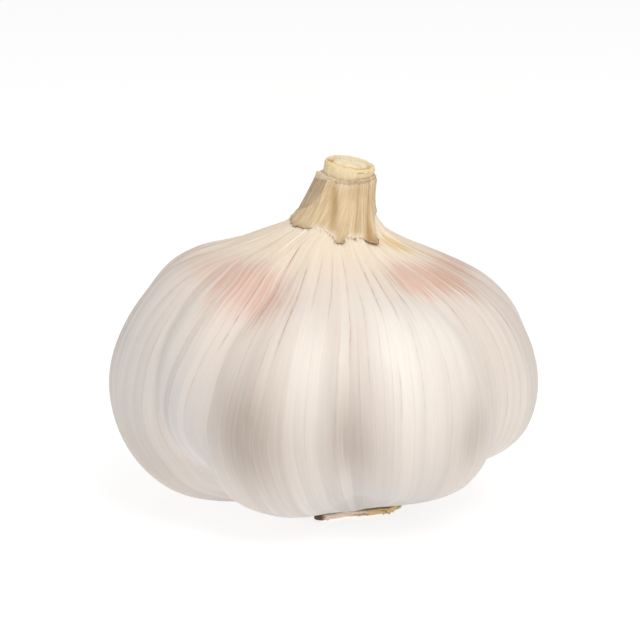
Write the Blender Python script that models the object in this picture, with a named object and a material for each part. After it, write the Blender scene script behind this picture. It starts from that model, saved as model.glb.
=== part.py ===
"""A head of garlic, built as it stands on a table: on its trimmed root plate.

Four grown pieces are separate objects. The bulb is the ring of cloves in its papery skin.
The stalk is the cut stem, the neck sheath is the dry leaf sheath wrapped round it, and the
root plate is the corky disc underneath with the stubs of its roots.

The origin is the middle of the root plate's flat underside. +Z is up and -Y is the front.
An azimuth is counted in degrees from the front, towards +X.
"""

import functools
import math
import random
from collections import namedtuple

import bmesh
import bpy
import numpy as np
from mathutils import Matrix, Vector

MM = 0.001

# Main sizes
REACH = 28.6 * MM  # from the plant's axis to the back of an ordinary clove
BODY_HEIGHT = 41.0 * MM  # from the table to the foot of the neck
GAP = 0.35 * MM  # kept between two neighbouring pieces
TABLE_GAP = 0.15 * MM  # the least height of a clove or a root

# Half the bulb's section, as shares of REACH and BODY_HEIGHT, from the root plate to the neck
OUTLINE = (
    (0.255, 0.056),
    (0.330, 0.053),
    (0.480, 0.065),
    (0.680, 0.094),
    (0.850, 0.151),
    (0.960, 0.263),
    (1.000, 0.410),
    (0.985, 0.560),
    (0.915, 0.690),
    (0.790, 0.790),
    (0.622, 0.858),
    (0.445, 0.908),
    (0.298, 0.954),
    (0.208, 0.998),
    (0.155, 1.050),
    (0.135, 1.100),
)
# Where the plant's axis stands off from the root plate's middle: (height, offset towards +X)
AXIS = (
    (0.0 * MM, 0.0 * MM),
    (8.0 * MM, -1.6 * MM),
    (18.0 * MM, -3.0 * MM),
    (30.0 * MM, -3.9 * MM),
    (37.5 * MM, -4.6 * MM),
    (40.5 * MM, -3.2 * MM),
    (43.0 * MM, -2.1 * MM),
    (46.8 * MM, -1.2 * MM),
    (50.0 * MM, -0.4 * MM),
)
SPAN_STEPS = 24  # how finely a smooth curve is walked between two given points
AXIS_STEPS = 60
SHARP_ANGLE = 50.0  # degrees between two faces that meet in a sharp edge

# A clove's azimuth, half angle and twist from bottom to top are in degrees. The rest is how far
# it stands out from the outline, in millimetres: at its widest, at the shoulder and underneath.
Clove = namedtuple("Clove", "azimuth half_angle twist widest shoulder under")
CLOVES = (
    Clove(-15.0, 22.5, 42.0, 1.4, -0.6, 0.5),
    Clove(25.5, 28.5, -22.0, 1.4, -1.0, -1.7),
    Clove(68.5, 26.0, 2.0, 0.9, 0.0, -4.4),
    Clove(107.0, 20.0, -3.0, 0.3, -0.3, -4.6),
    Clove(145.0, 20.5, 2.0, 0.4, 0.2, -2.2),
    Clove(183.0, 20.0, -4.0, 0.2, 0.0, -0.8),
    Clove(219.0, 18.0, 3.0, 0.6, 0.8, 0.4),
    Clove(253.0, 17.0, -2.0, 1.2, 1.0, 1.0),
    Clove(285.0, 20.0, 18.0, 2.5, 1.2, 1.7),
    Clove(315.0, 13.0, 16.0, 1.9, 0.9, -4.0),
)
# Where on the skin those three measures count: (share of the way up, spread)
WIDEST_PLACE = (0.44, 0.17)
SHOULDER_PLACE = (0.72, 0.10)
UNDER_PLACE = (0.23, 0.15)
CREASE_DEPTH = 2.9 * MM  # from a clove's back to the crease beside it
CREASE_SOFTNESS = 0.13  # how much the skin bridges a crease, as a share of its depth
# How deep the creases are along the skin: (share of the way up, share of CREASE_DEPTH)
CREASE_RUN = (
    (0.00, 0.05),
    (0.10, 0.16),
    (0.20, 0.72),
    (0.32, 1.15),
    (0.50, 1.00),
    (0.70, 0.62),
    (0.82, 0.18),
    (0.88, 0.00),
)
CLOVE_STEPS = 9  # faces across a clove
SKIN_STEPS = 33  # faces from the root plate up to the neck

# The cut stem
STALK_RADIUS = 3.45 * MM
STALK_OVAL = 0.93  # its depth as a share of its width
STALK_FOOT = BODY_HEIGHT * OUTLINE[-1][1] + GAP
STALK_TOP = 48.6 * MM
STALK_STEPS = 40
CUT_FALL = (0.16, 0.13)  # how steeply the cut falls towards +X and towards the front
CUT_EDGE = 0.25 * MM  # the worn edges of the cut
PITH_RADIUS = 2.35 * MM
PITH_CROWN = 0.15 * MM  # how far the pith bulges out of the cut
SPLIT_WIDTH = 0.30 * MM  # the split between the pith and its rind
SPLIT_DEPTH = 0.45 * MM
SPLIT_PLACE = (22.0, 55.0)  # the azimuth where the split is deepest, and its spread in degrees

# The leaf sheath
SHEATH_RIM = 47.0 * MM
SHEATH_RIM_RADIUS = 4.15 * MM
SHEATH_WALL = 0.7 * MM  # at the hem
LEAST_WALL = 0.3 * MM
SHEATH_FLARE = 2.2  # how late the sheath widens on its way down: 1 is a cone
LEFT_FLARE = 1.2
LEFT_SIDE = (-85.0, 40.0)  # the azimuth where it has its left flare, and the spread in degrees
SHEATH_STEPS = 72
SHEATH_RINGS = 9
WRAPPED_FROM = 0.9  # the sheath can lie on the skin above this share of BODY_HEIGHT
# The ragged hem that lies on the shoulder: (azimuth, radius)
HEM = (
    (-140.0, 6.7 * MM),
    (-100.0, 5.9 * MM),
    (-72.0, 6.1 * MM),
    (-57.0, 6.5 * MM),
    (-36.0, 6.6 * MM),
    (-21.0, 6.4 * MM),
    (-9.0, 6.8 * MM),
    (2.0, 7.5 * MM),
    (9.0, 8.6 * MM),
    (15.0, 8.8 * MM),
    (20.0, 8.0 * MM),
    (27.0, 8.4 * MM),
    (34.0, 8.2 * MM),
    (42.0, 9.2 * MM),
    (48.0, 9.6 * MM),
    (54.0, 8.6 * MM),
    (61.0, 7.2 * MM),
    (68.0, 5.9 * MM),
    (78.0, 5.4 * MM),
    (100.0, 5.6 * MM),
    (122.0, 6.8 * MM),
    (150.0, 6.6 * MM),
    (180.0, 7.2 * MM),
)
# Folds that stand off at the rim: (azimuth, spread in degrees, reach)
RIM_FOLDS = (
    (-80.0, 35.0, 0.50 * MM),
    (-28.0, 13.0, 0.20 * MM),
    (118.0, 20.0, 0.15 * MM),
    (172.0, 17.0, 0.15 * MM),
    (222.0, 16.0, 0.25 * MM),
)

# The root plate
PLATE_RADIUS = 6.25 * MM
PLATE_TOP_RADIUS = 5.5 * MM
PLATE_TOP = BODY_HEIGHT * OUTLINE[0][1] - GAP
PLATE_STEPS = 60
FLAT_SHARE = 0.86  # how far out the flat spot underneath reaches, as a share of the rim
# The plate's section from the flat spot to the top of the rim: (share of the rim, height)
RIM_SECTION = ((FLAT_SHARE, 0.0), (0.94, 0.105 * MM), (1.0, 0.30 * MM), (1.0, 0.75 * MM))
# Ripples of the rim: (waves round the plate, share of the radius, phase)
RIM_RIPPLES = ((5, 0.030, 1.0), (9, 0.022, 0.0), (14, 0.015, 2.0))
# Tongues of the rim: (azimuth, spread in degrees, reach)
RIM_TONGUES = (
    (-95.0, 24.0, 0.9 * MM),
    (-34.0, 15.0, 3.4 * MM),
    (15.0, 16.0, -0.5 * MM),
    (57.0, 14.0, 0.3 * MM),
    (150.0, 20.0, 0.6 * MM),
)

# The roots' stubs
ROOT_COUNT = 60
ROOT_SIDES = 5
ROOT_RADIUS = (0.27 * MM, 0.41 * MM)
ROOT_TAPER = 0.5  # the tip's radius as a share of the foot's
ROOT_LENGTH = (0.9 * MM, 1.7 * MM)
ROOT_SUNK = 0.3  # the share of a root that is inside the plate
ROOT_HEIGHT = 0.55 * MM  # where a root leaves the plate
ROOT_STRAY = 0.3  # how far a root strays from its even place, in steps round the plate
OUTER_LEAN = (60.0, 85.0)  # degrees from straight down, in the row on the rim
INNER_LEAN = (35.0, 55.0)  # and in the row round the flat spot
OUTER_INSET = 0.5 * MM  # from the rim in to the outer row
INNER_OUTSET = 0.3 * MM  # from the flat spot out to the inner row
ROOT_SEED = 11


def clear_scene():
    for old in list(bpy.data.objects):
        bpy.data.objects.remove(old, do_unlink=True)


def paint(name, colour, roughness):
    material = bpy.data.materials.new(name)
    material.use_nodes = True
    shader = material.node_tree.nodes["Principled BSDF"]
    shader.inputs["Base Color"].default_value = (*colour, 1.0)
    shader.inputs["Roughness"].default_value = roughness
    shader.inputs["Metallic"].default_value = 0.0
    return material


def smooth_curve(points, count):
    """Evenly spaced points of a smooth curve through the given ones."""
    given = np.array(points, float)
    ends = np.vstack([2 * given[0] - given[1], given, 2 * given[-1] - given[-2]])
    fine = []
    for start in range(len(given) - 1):
        a, b, c, d = ends[start : start + 4]
        for u in np.linspace(0, 1, SPAN_STEPS, endpoint=False):
            bend = 2 * a - 5 * b + 4 * c - d
            turn = 3 * b - a - 3 * c + d
            fine.append(0.5 * (2 * b + (c - a) * u + bend * u**2 + turn * u**3))
    fine = np.array([*fine, given[-1]])
    walked = np.concatenate([[0], np.cumsum(np.linalg.norm(np.diff(fine, axis=0), axis=1))])
    even = np.linspace(0, walked[-1], count)
    return np.stack([np.interp(even, walked, fine[:, k]) for k in range(given.shape[1])], axis=1)


@functools.lru_cache
def axis_curve():
    curve = smooth_curve(AXIS, AXIS_STEPS)
    return curve[:, 0], curve[:, 1]


def axis_offset(height):
    """How far the plant's axis stands off towards +X at a height."""
    return np.interp(height, *axis_curve())


def turn_between(azimuth, other):
    """The signed angle from one azimuth to another, in degrees."""
    return (azimuth - other + 180.0) % 360.0 - 180.0


def bell(distance, spread):
    """1 at no distance, falling to nothing beyond the spread."""
    return math.exp(-((distance / spread) ** 2))


def bell_at(share, place_on_skin):
    middle, spread = place_on_skin
    return bell(share - middle, spread)


def skin_relief(azimuth, share):
    """How far the cloves push the skin out from the outline, at a share of the way up it."""
    depth = CREASE_DEPTH * np.interp(share, *zip(*CREASE_RUN))
    if depth <= 0:
        return 0.0
    backs = []
    for clove in CLOVES:
        stands_out = MM * (
            clove.widest * bell_at(share, WIDEST_PLACE)
            + clove.shoulder * bell_at(share, SHOULDER_PLACE)
            + clove.under * bell_at(share, UNDER_PLACE)
        )
        off = turn_between(azimuth, clove.azimuth + clove.twist * (share - 0.5)) / clove.half_angle
        backs.append(stands_out / depth - off**2)
    highest = max(backs)
    crowding = sum(math.exp((back - highest) / CREASE_SOFTNESS) for back in backs)
    return depth * (highest + CREASE_SOFTNESS * math.log(crowding))


def skin_section():
    """The outline's points from the root plate up to the neck, and the way each one faces."""
    points = smooth_curve([(r * REACH, z * BODY_HEIGHT) for r, z in OUTLINE], SKIN_STEPS + 1)
    along = np.gradient(points, axis=0)
    facing = np.stack([along[:, 1], -along[:, 0]], axis=1)
    return points, facing / np.linalg.norm(facing, axis=1)[:, None]


def round_plate(azimuth, radius, height):
    """A point round the root plate's middle."""
    angle = math.radians(azimuth)
    return Vector((radius * math.sin(angle), -radius * math.cos(angle), height))


def round_axis(azimuth, radius, height):
    """A point round the plant's leaning axis."""
    return round_plate(azimuth, radius, height) + Vector((axis_offset(height), 0.0, 0.0))


def body_of_rings(name, rings, material, hollow=False):
    """A closed body over rings of points. A hollow one joins its last ring back to its first."""
    made = bmesh.new()
    loops = [[made.verts.new(point) for point in ring] for ring in rings]
    pairs = list(zip(loops, loops[1:]))
    if hollow:
        pairs.append((loops[-1], loops[0]))
    else:
        made.faces.new(list(reversed(loops[0])))
        made.faces.new(loops[-1])
    for low, high in pairs:
        for k in range(len(low)):
            after = (k + 1) % len(low)
            made.faces.new((low[k], low[after], high[after], high[k]))
    bmesh.ops.recalc_face_normals(made, faces=made.faces)
    mesh = bpy.data.meshes.new(name)
    made.to_mesh(mesh)
    made.free()
    mesh.shade_smooth()
    mesh.set_sharp_from_angle(angle=math.radians(SHARP_ANGLE))
    piece = bpy.data.objects.new(name, mesh)
    piece.data.materials.append(material)
    bpy.context.scene.collection.objects.link(piece)
    return piece


def clove_azimuths():
    """Azimuths round the bulb: one on each crease, and as many across each clove as any other."""
    creases = []
    for clove, following in zip(CLOVES, CLOVES[1:] + CLOVES[:1]):
        between = turn_between(following.azimuth, clove.azimuth)
        share = clove.half_angle / (clove.half_angle + following.half_angle)
        creases.append(clove.azimuth + between * share)
    azimuths = []
    for start, end in zip(creases, creases[1:] + creases[:1]):
        width = turn_between(end, start)
        azimuths += [start + width * k / CLOVE_STEPS for k in range(CLOVE_STEPS)]
    return azimuths


def make_bulb(material):
    points, facing = skin_section()
    azimuths = clove_azimuths()
    recess_radius = PLATE_RADIUS + 2 * GAP
    rings = [[round_axis(azimuth, recess_radius, PLATE_TOP + GAP) for azimuth in azimuths]]
    for step, (point, normal) in enumerate(zip(points, facing)):
        ring = []
        for azimuth in azimuths:
            radius, height = point + normal * skin_relief(azimuth, step / SKIN_STEPS)
            ring.append(round_axis(azimuth, radius, max(height, TABLE_GAP)))
        rings.append(ring)
    return body_of_rings("bulb", rings, material)


def make_stalk(material):
    """A short oval post whose slanting cut face shows the pith, split from its rind in front."""
    split_edge = PITH_RADIUS + SPLIT_WIDTH
    # Each ring: its radius, its height before the cut's fall, and its share of the split's depth
    section = (
        (STALK_RADIUS, STALK_FOOT, 0),
        (STALK_RADIUS, STALK_TOP - 2 * CUT_EDGE, 0),
        (STALK_RADIUS - CUT_EDGE, STALK_TOP, 0),
        (split_edge + CUT_EDGE, STALK_TOP, 0),
        (split_edge, STALK_TOP, 1),
        (PITH_RADIUS, STALK_TOP, 1),
        (PITH_RADIUS - CUT_EDGE, STALK_TOP, 0),
        (0.5 * PITH_RADIUS, STALK_TOP + 0.8 * PITH_CROWN, 0),
        (0.1 * PITH_RADIUS, STALK_TOP + PITH_CROWN, 0),
    )
    split_azimuth, split_spread = SPLIT_PLACE
    rings = []
    for radius, height, split in section:
        ring = []
        for step in range(STALK_STEPS):
            azimuth = 360.0 * step / STALK_STEPS
            depth = split * SPLIT_DEPTH * bell(turn_between(azimuth, split_azimuth), split_spread)
            at = round_axis(azimuth, radius, height - depth)
            at.y *= STALK_OVAL
            if height > STALK_FOOT:
                angle = math.radians(azimuth)
                at.z -= radius * (CUT_FALL[0] * math.sin(angle) + CUT_FALL[1] * math.cos(angle))
            ring.append(at)
        rings.append(ring)
    return body_of_rings("stalk", rings, material)


def core_section():
    """What the sheath wraps, with a gap: the skin near the neck, then the stalk, bottom to top."""
    points, facing = skin_section()
    wrapped = points[:, 1] > WRAPPED_FROM * BODY_HEIGHT
    skin = points[wrapped] + facing[wrapped] * GAP
    stalk = np.array([(STALK_RADIUS + GAP, STALK_FOOT + GAP), (STALK_RADIUS + GAP, STALK_TOP)])
    section = np.vstack([skin, stalk])
    return section[:, 0], section[:, 1]


def make_sheath(material):
    """A sleeve with folds that closes on the stalk at its rim and spreads over the shoulder."""
    core_radii, core_heights = core_section()
    outer = [[] for _ in range(SHEATH_RINGS)]
    inner = [[] for _ in range(SHEATH_RINGS)]
    for step in range(SHEATH_STEPS):
        azimuth = 360.0 * step / SHEATH_STEPS
        hem = np.interp(azimuth, *zip(*HEM), period=360.0)
        folds = sum(reach * bell(turn_between(azimuth, at), spread) for at, spread, reach in RIM_FOLDS)
        rim = SHEATH_RIM_RADIUS + folds
        left = bell(turn_between(azimuth, LEFT_SIDE[0]), LEFT_SIDE[1])
        flare = SHEATH_FLARE + (LEFT_FLARE - SHEATH_FLARE) * left
        low = np.interp(hem, core_radii[::-1], core_heights[::-1])
        foot = np.interp(hem - SHEATH_WALL, core_radii[::-1], core_heights[::-1])
        for ring in range(SHEATH_RINGS):
            up = ring / (SHEATH_RINGS - 1)
            height = low + (SHEATH_RIM - low) * up
            least = np.interp(height, core_heights, core_radii) + LEAST_WALL
            radius = rim + (hem - rim) * (1 - up) ** flare
            outer[ring].append(round_axis(azimuth, max(radius, least), height))
            height = foot + (SHEATH_RIM - foot) * up
            inner[ring].append(round_axis(azimuth, np.interp(height, core_heights, core_radii), height))
    return body_of_rings("neck_sheath", outer + inner[::-1], material, hollow=True)


def plate_rim(azimuth):
    """The radius of the root plate's uneven rim."""
    angle = math.radians(azimuth)
    ripple = sum(share * math.sin(n * angle + phase) for n, share, phase in RIM_RIPPLES)
    tongue = sum(reach * bell(turn_between(azimuth, at), spread) for at, spread, reach in RIM_TONGUES)
    return PLATE_RADIUS * (1 + ripple) + tongue


def make_roots(material):
    """The trimmed roots: tapered stubs in two rows round the plate's flat spot, leaning out."""
    chance = random.Random(ROOT_SEED)
    roots = bpy.data.collections.new("roots")
    bpy.context.scene.collection.children.link(roots)
    for index in range(ROOT_COUNT):
        azimuth = 360.0 * (index + chance.uniform(-ROOT_STRAY, ROOT_STRAY)) / ROOT_COUNT
        if index % 2:
            radius = plate_rim(azimuth) - OUTER_INSET
            lean = math.radians(chance.uniform(*OUTER_LEAN))
        else:
            radius = FLAT_SHARE * plate_rim(azimuth) + INNER_OUTSET
            lean = math.radians(chance.uniform(*INNER_LEAN))
        length = chance.uniform(*ROOT_LENGTH)
        thick = chance.uniform(*ROOT_RADIUS)
        root = bmesh.new()
        bmesh.ops.create_cone(
            root,
            cap_ends=True,
            segments=ROOT_SIDES,
            radius1=thick,
            radius2=ROOT_TAPER * thick,
            depth=length,
            matrix=Matrix.Translation((0, 0, (0.5 - ROOT_SUNK) * length)),
        )
        turned = Matrix.Rotation(math.radians(azimuth), 4, "Z")
        leaning = Matrix.Rotation(math.pi - lean, 4, "X")
        start = Matrix.Translation(round_plate(azimuth, radius, ROOT_HEIGHT))
        root.transform(start @ turned @ leaning)
        for vert in root.verts:
            vert.co.z = max(vert.co.z, TABLE_GAP)
        mesh = bpy.data.meshes.new("root")
        root.to_mesh(mesh)
        root.free()
        stub = bpy.data.objects.new("root", mesh)
        stub.data.materials.append(material)
        roots.objects.link(stub)
    return roots


def make_root_plate(material):
    """A low disc with an uneven rim and a flat underside, with the roots fused to it."""
    azimuths = [360.0 * step / PLATE_STEPS for step in range(PLATE_STEPS)]
    rings = [
        [round_plate(azimuth, share * plate_rim(azimuth), height) for azimuth in azimuths]
        for share, height in RIM_SECTION
    ]
    rings.append([round_plate(azimuth, PLATE_TOP_RADIUS, PLATE_TOP) for azimuth in azimuths])
    plate = body_of_rings("root_plate", rings, material)
    roots = make_roots(material)
    join = plate.modifiers.new("join_roots", "BOOLEAN")
    join.operation = "UNION"
    join.operand_type = "COLLECTION"
    join.collection = roots
    join.solver = "EXACT"
    graph = bpy.context.evaluated_depsgraph_get()
    fused = bpy.data.meshes.new_from_object(plate.evaluated_get(graph))
    plate.modifiers.remove(join)
    plate.data = fused
    for stub in list(roots.objects):
        bpy.data.objects.remove(stub, do_unlink=True)
    bpy.data.collections.remove(roots)
    return plate


def main():
    clear_scene()
    make_bulb(paint("papery skin", (0.84, 0.77, 0.71), 0.55))
    make_stalk(paint("cut stalk", (0.80, 0.70, 0.46), 0.70))
    make_sheath(paint("dry sheath", (0.69, 0.52, 0.34), 0.65))
    make_root_plate(paint("root cork", (0.42, 0.30, 0.16), 0.90))


main()
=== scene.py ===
import math
from collections import namedtuple

import bpy
import numpy as np
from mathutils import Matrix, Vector


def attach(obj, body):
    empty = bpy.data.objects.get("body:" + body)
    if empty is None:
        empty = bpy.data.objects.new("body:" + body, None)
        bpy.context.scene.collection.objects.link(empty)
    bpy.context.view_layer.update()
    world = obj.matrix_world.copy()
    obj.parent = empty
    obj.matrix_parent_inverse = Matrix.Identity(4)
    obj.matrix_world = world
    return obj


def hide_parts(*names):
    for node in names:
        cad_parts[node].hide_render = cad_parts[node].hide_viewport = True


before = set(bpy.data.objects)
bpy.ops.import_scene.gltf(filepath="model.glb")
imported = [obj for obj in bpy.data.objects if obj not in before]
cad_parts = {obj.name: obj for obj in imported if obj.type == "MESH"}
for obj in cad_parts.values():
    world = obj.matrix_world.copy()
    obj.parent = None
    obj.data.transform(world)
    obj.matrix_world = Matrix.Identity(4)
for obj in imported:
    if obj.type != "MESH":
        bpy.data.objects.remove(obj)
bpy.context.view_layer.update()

MM = 0.001

# The bulb's form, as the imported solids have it
REACH = 28.6 * MM
BODY_HEIGHT = 41.0 * MM
GAP = 0.35 * MM
TABLE_GAP = 0.15 * MM
OUTLINE = (
    (0.255, 0.056),
    (0.330, 0.053),
    (0.480, 0.065),
    (0.680, 0.094),
    (0.850, 0.151),
    (0.960, 0.263),
    (1.000, 0.410),
    (0.985, 0.560),
    (0.915, 0.690),
    (0.790, 0.790),
    (0.622, 0.858),
    (0.445, 0.908),
    (0.298, 0.954),
    (0.208, 0.998),
    (0.155, 1.050),
    (0.135, 1.100),
)
AXIS = (
    (0.0 * MM, 0.0 * MM),
    (8.0 * MM, -1.6 * MM),
    (18.0 * MM, -3.0 * MM),
    (30.0 * MM, -3.9 * MM),
    (37.5 * MM, -4.6 * MM),
    (40.5 * MM, -3.2 * MM),
    (43.0 * MM, -2.1 * MM),
    (46.8 * MM, -1.2 * MM),
    (50.0 * MM, -0.4 * MM),
)
Clove = namedtuple("Clove", "azimuth half_angle twist widest shoulder under")
CLOVES = (
    Clove(-15.0, 22.5, 42.0, 1.4, -0.6, 0.5),
    Clove(25.5, 28.5, -22.0, 1.4, -1.0, -1.7),
    Clove(68.5, 26.0, 2.0, 0.9, 0.0, -4.4),
    Clove(107.0, 20.0, -3.0, 0.3, -0.3, -4.6),
    Clove(145.0, 20.5, 2.0, 0.4, 0.2, -2.2),
    Clove(183.0, 20.0, -4.0, 0.2, 0.0, -0.8),
    Clove(219.0, 18.0, 3.0, 0.6, 0.8, 0.4),
    Clove(253.0, 17.0, -2.0, 1.2, 1.0, 1.0),
    Clove(285.0, 20.0, 18.0, 2.5, 1.2, 1.7),
    Clove(315.0, 13.0, 16.0, 1.9, 0.9, -4.0),
)
WIDEST_PLACE = (0.44, 0.17)
SHOULDER_PLACE = (0.72, 0.10)
UNDER_PLACE = (0.23, 0.15)
CREASE_DEPTH = 2.9 * MM
CREASE_SOFTNESS = 0.13
CREASE_RUN = (
    (0.00, 0.05),
    (0.10, 0.16),
    (0.20, 0.72),
    (0.32, 1.15),
    (0.50, 1.00),
    (0.70, 0.62),
    (0.82, 0.18),
    (0.88, 0.00),
)
STALK_RADIUS = 3.45 * MM
STALK_OVAL = 0.93
STALK_FOOT = BODY_HEIGHT * OUTLINE[-1][1] + GAP
STALK_TOP = 48.6 * MM
CUT_FALL = (0.16, 0.13)
SHEATH_RIM = 47.0 * MM
SHEATH_RIM_RADIUS = 4.15 * MM
LEAST_WALL = 0.3 * MM
SHEATH_FLARE = 2.2
LEFT_FLARE = 1.2
LEFT_SIDE = (-85.0, 40.0)
HEM = (
    (-140.0, 6.7 * MM),
    (-100.0, 5.9 * MM),
    (-72.0, 6.1 * MM),
    (-57.0, 6.5 * MM),
    (-36.0, 6.6 * MM),
    (-21.0, 6.4 * MM),
    (-9.0, 6.8 * MM),
    (2.0, 7.5 * MM),
    (9.0, 8.6 * MM),
    (15.0, 8.8 * MM),
    (20.0, 8.0 * MM),
    (27.0, 8.4 * MM),
    (34.0, 8.2 * MM),
    (42.0, 9.2 * MM),
    (48.0, 9.6 * MM),
    (54.0, 8.6 * MM),
    (61.0, 7.2 * MM),
    (68.0, 5.9 * MM),
    (78.0, 5.4 * MM),
    (100.0, 5.6 * MM),
    (122.0, 6.8 * MM),
    (150.0, 6.6 * MM),
    (180.0, 7.2 * MM),
)
RIM_FOLDS = (
    (-80.0, 35.0, 0.50 * MM),
    (-28.0, 13.0, 0.20 * MM),
    (118.0, 20.0, 0.15 * MM),
    (172.0, 17.0, 0.15 * MM),
    (222.0, 16.0, 0.25 * MM),
)
PLATE_RADIUS = 6.25 * MM
PLATE_TOP_RADIUS = 5.5 * MM
PLATE_TOP = BODY_HEIGHT * OUTLINE[0][1] - GAP
FLAT_SHARE = 0.86
RIM_SECTION = ((FLAT_SHARE, 0.0), (0.94, 0.105 * MM), (1.0, 0.30 * MM), (1.0, 0.75 * MM))
RIM_RIPPLES = ((5, 0.030, 1.0), (9, 0.022, 0.0), (14, 0.015, 2.0))
RIM_TONGUES = (
    (-95.0, 24.0, 0.9 * MM),
    (-34.0, 15.0, 3.4 * MM),
    (15.0, 16.0, -0.5 * MM),
    (57.0, 14.0, 0.3 * MM),
    (150.0, 20.0, 0.6 * MM),
)

# How finely each piece is made
SPAN_STEPS = 24
AXIS_STEPS = 60
SKIN_COLUMNS = 480
SKIN_RINGS = 196
SHEATH_COLUMNS = 640
SHEATH_RINGS = 44
STALK_COLUMNS = 200
STALK_SIDE_RINGS = 16
CUT_RINGS = 52
PLATE_COLUMNS = 240
RECESS_RINGS = (0.2, 0.6, 1.0)

# The veins of the skin, each along one line from the neck down. A line is given by its azimuth,
# in degrees, at four shares of the way up the skin. Then come the shares where the ink starts
# and ends, and how strong it is.
VEIN_SHARES = (0.40, 0.58, 0.72, 0.84)
Vein = namedtuple("Vein", "line bottom top ink")
FRONT_VEINS = (
    Vein((-68.5, -65.0, -59.0, -56.8), 0.58, 0.79, 0.40),
    Vein((-61.5, -57.3, -54.5, -53.5), 0.44, 0.64, 0.25),
    Vein((-51.0, -43.0, -37.5, -48.5), 0.63, 0.89, 0.65),
    Vein((-46.0, -37.5, -32.0, -35.6), 0.66, 0.85, 0.30),
    Vein((-41.0, -32.7, -28.0, -27.0), 0.55, 0.78, 0.60),
    Vein((-33.0, -26.0, -21.3, -20.2), 0.62, 0.90, 0.85),
    Vein((-27.5, -21.2, -15.7, -12.5), 0.62, 0.81, 0.50),
    Vein((-21.0, -14.7, -10.3, -8.0), 0.55, 0.83, 0.70),
    Vein((-11.0, -7.5, -4.0, 0.3), 0.67, 0.85, 0.50),
    Vein((-5.6, -2.0, 2.5, 6.8), 0.63, 0.84, 0.45),
    Vein((3.0, 5.9, 9.3, 13.9), 0.55, 0.85, 0.45),
    Vein((10.0, 10.6, 14.5, 17.5), 0.48, 0.76, 0.30),
    Vein((14.7, 17.0, 20.4, 24.0), 0.64, 0.83, 0.80),
    Vein((20.0, 22.2, 25.5, 28.4), 0.63, 0.81, 0.75),
    Vein((26.0, 28.0, 31.8, 34.5), 0.65, 0.80, 0.85),
    Vein((35.0, 37.5, 40.0, 41.0), 0.70, 0.82, 0.25),
    Vein((46.5, 48.2, 48.8, 49.0), 0.56, 0.73, 0.55),
    Vein((51.0, 52.0, 52.5, 53.0), 0.64, 0.73, 0.35),
    Vein((58.0, 59.0, 59.5, 60.0), 0.63, 0.76, 0.85),
    Vein((64.0, 65.2, 66.2, 67.0), 0.52, 0.75, 0.80),
    Vein((71.0, 72.0, 73.0, 73.5), 0.66, 0.76, 0.75),
    Vein((78.0, 79.0, 79.5, 80.0), 0.66, 0.76, 0.75),
)
VEIN_STEP = (3.0, 5.2)  # degrees between two veins round the sides and back
VEIN_SEED = 5
VEIN_SMOOTHING = 13  # rings of the skin over which a vein's corners are rounded

# Soft patches of the skin, stains and also painted shade and painted highlights: (azimuth, share
# of the way up, spread in degrees, spread in shares, strength). The cloves at the back have theirs
# by rule.
BACK_CLOVES = CLOVES[3:8]


def at_back(turn, share, spread, tall, strength):
    """One patch on each clove at the back, for a table of stains or of painted highlights. Its spread is a
    share of the clove's half angle.
    """
    return [(c.azimuth + turn, share, spread * c.half_angle, tall, strength) for c in BACK_CLOVES]


BLUSHES = (
    (-32.0, 0.735, 18.0, 0.090, 0.80),
    (-20.0, 0.690, 12.0, 0.070, 0.30),
    (-62.0, 0.750, 14.0, 0.060, 0.60),
    (44.0, 0.765, 12.0, 0.055, 1.10),
    (60.0, 0.730, 13.0, 0.055, 0.80),
    (82.0, 0.745, 13.0, 0.055, 0.95),
    *at_back(-3.0, 0.725, 0.65, 0.05, 0.8),
)
GOLDS = (
    (66.0, 0.860, 9.0, 0.050, 1.0),
    (50.0, 0.885, 8.0, 0.035, 0.6),
    (-40.0, 0.870, 12.0, 0.040, 0.4),
    (82.0, 0.800, 12.0, 0.060, 0.6),
    *at_back(6.0, 0.860, 0.4, 0.05, 0.6),
)
RUSTS = (
    (60.0, 0.710, 8.0, 0.045, 1.0),
    (74.0, 0.730, 10.0, 0.050, 1.0),
    (68.0, 0.700, 9.0, 0.040, 0.8),
    (-36.0, 0.710, 7.0, 0.050, 0.4),
    (-20.0, 0.680, 6.0, 0.050, 0.3),
    *at_back(4.0, 0.730, 0.3, 0.05, 0.5),
)
COOLS = (
    (-43.0, 0.42, 9.0, 0.15, 1.0),
    (-70.0, 0.48, 20.0, 0.22, 0.7),
    (-8.0, 0.24, 20.0, 0.10, 0.6),
    (20.0, 0.24, 20.0, 0.10, 0.6),
    (165.0, 0.45, 50.0, 0.20, 0.6),
)
# Painted shade in the creases between the cloves, low on the bulb
SHADES = (
    (-23.0, 0.420, 11.0, 0.100, 1.15),
    (3.0, 0.410, 8.0, 0.090, 1.0),
    (38.0, 0.410, 7.0, 0.075, 0.9),
    (-72.0, 0.320, 12.0, 0.080, 0.6),
    *((clove.azimuth + clove.half_angle, 0.410, 8.0, 0.085, 0.8) for clove in BACK_CLOVES),
)
# Painted highlights: pale patches where the light falls on the cloves
PAINTED_HIGHLIGHTS = (
    (-6.0, 0.550, 5.0, 0.130, 0.70),
    (19.0, 0.600, 7.0, 0.130, 1.0),
    (34.0, 0.620, 10.0, 0.100, 1.0),
    (28.0, 0.470, 10.0, 0.100, 0.5),
    (9.0, 0.700, 8.0, 0.060, 0.4),
    *at_back(0.0, 0.580, 0.4, 0.12, 0.7),
)

# Fine relief of the skin
RIB_HEIGHT = 0.03 * MM
RIB_WIDTH = 0.35 * MM
PANEL_CROWN = 0.09 * MM
PANEL_PITCH = 6.0  # degrees across a panel that has its full crown
# Where the papery skin bridges the upper part of a crease: (azimuth, twist, spread, height)
BRIDGES = (
    (-57.0, 17.0, 8.0, 0.60 * MM),
    (-34.0, 25.0, 7.0, 0.50 * MM),
)
# The crease between the front cloves is shallow where it runs under the bulb
BELLY_FILL = 0.50 * MM
BELLY_PLACE = (6.0, 8.0)

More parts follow.
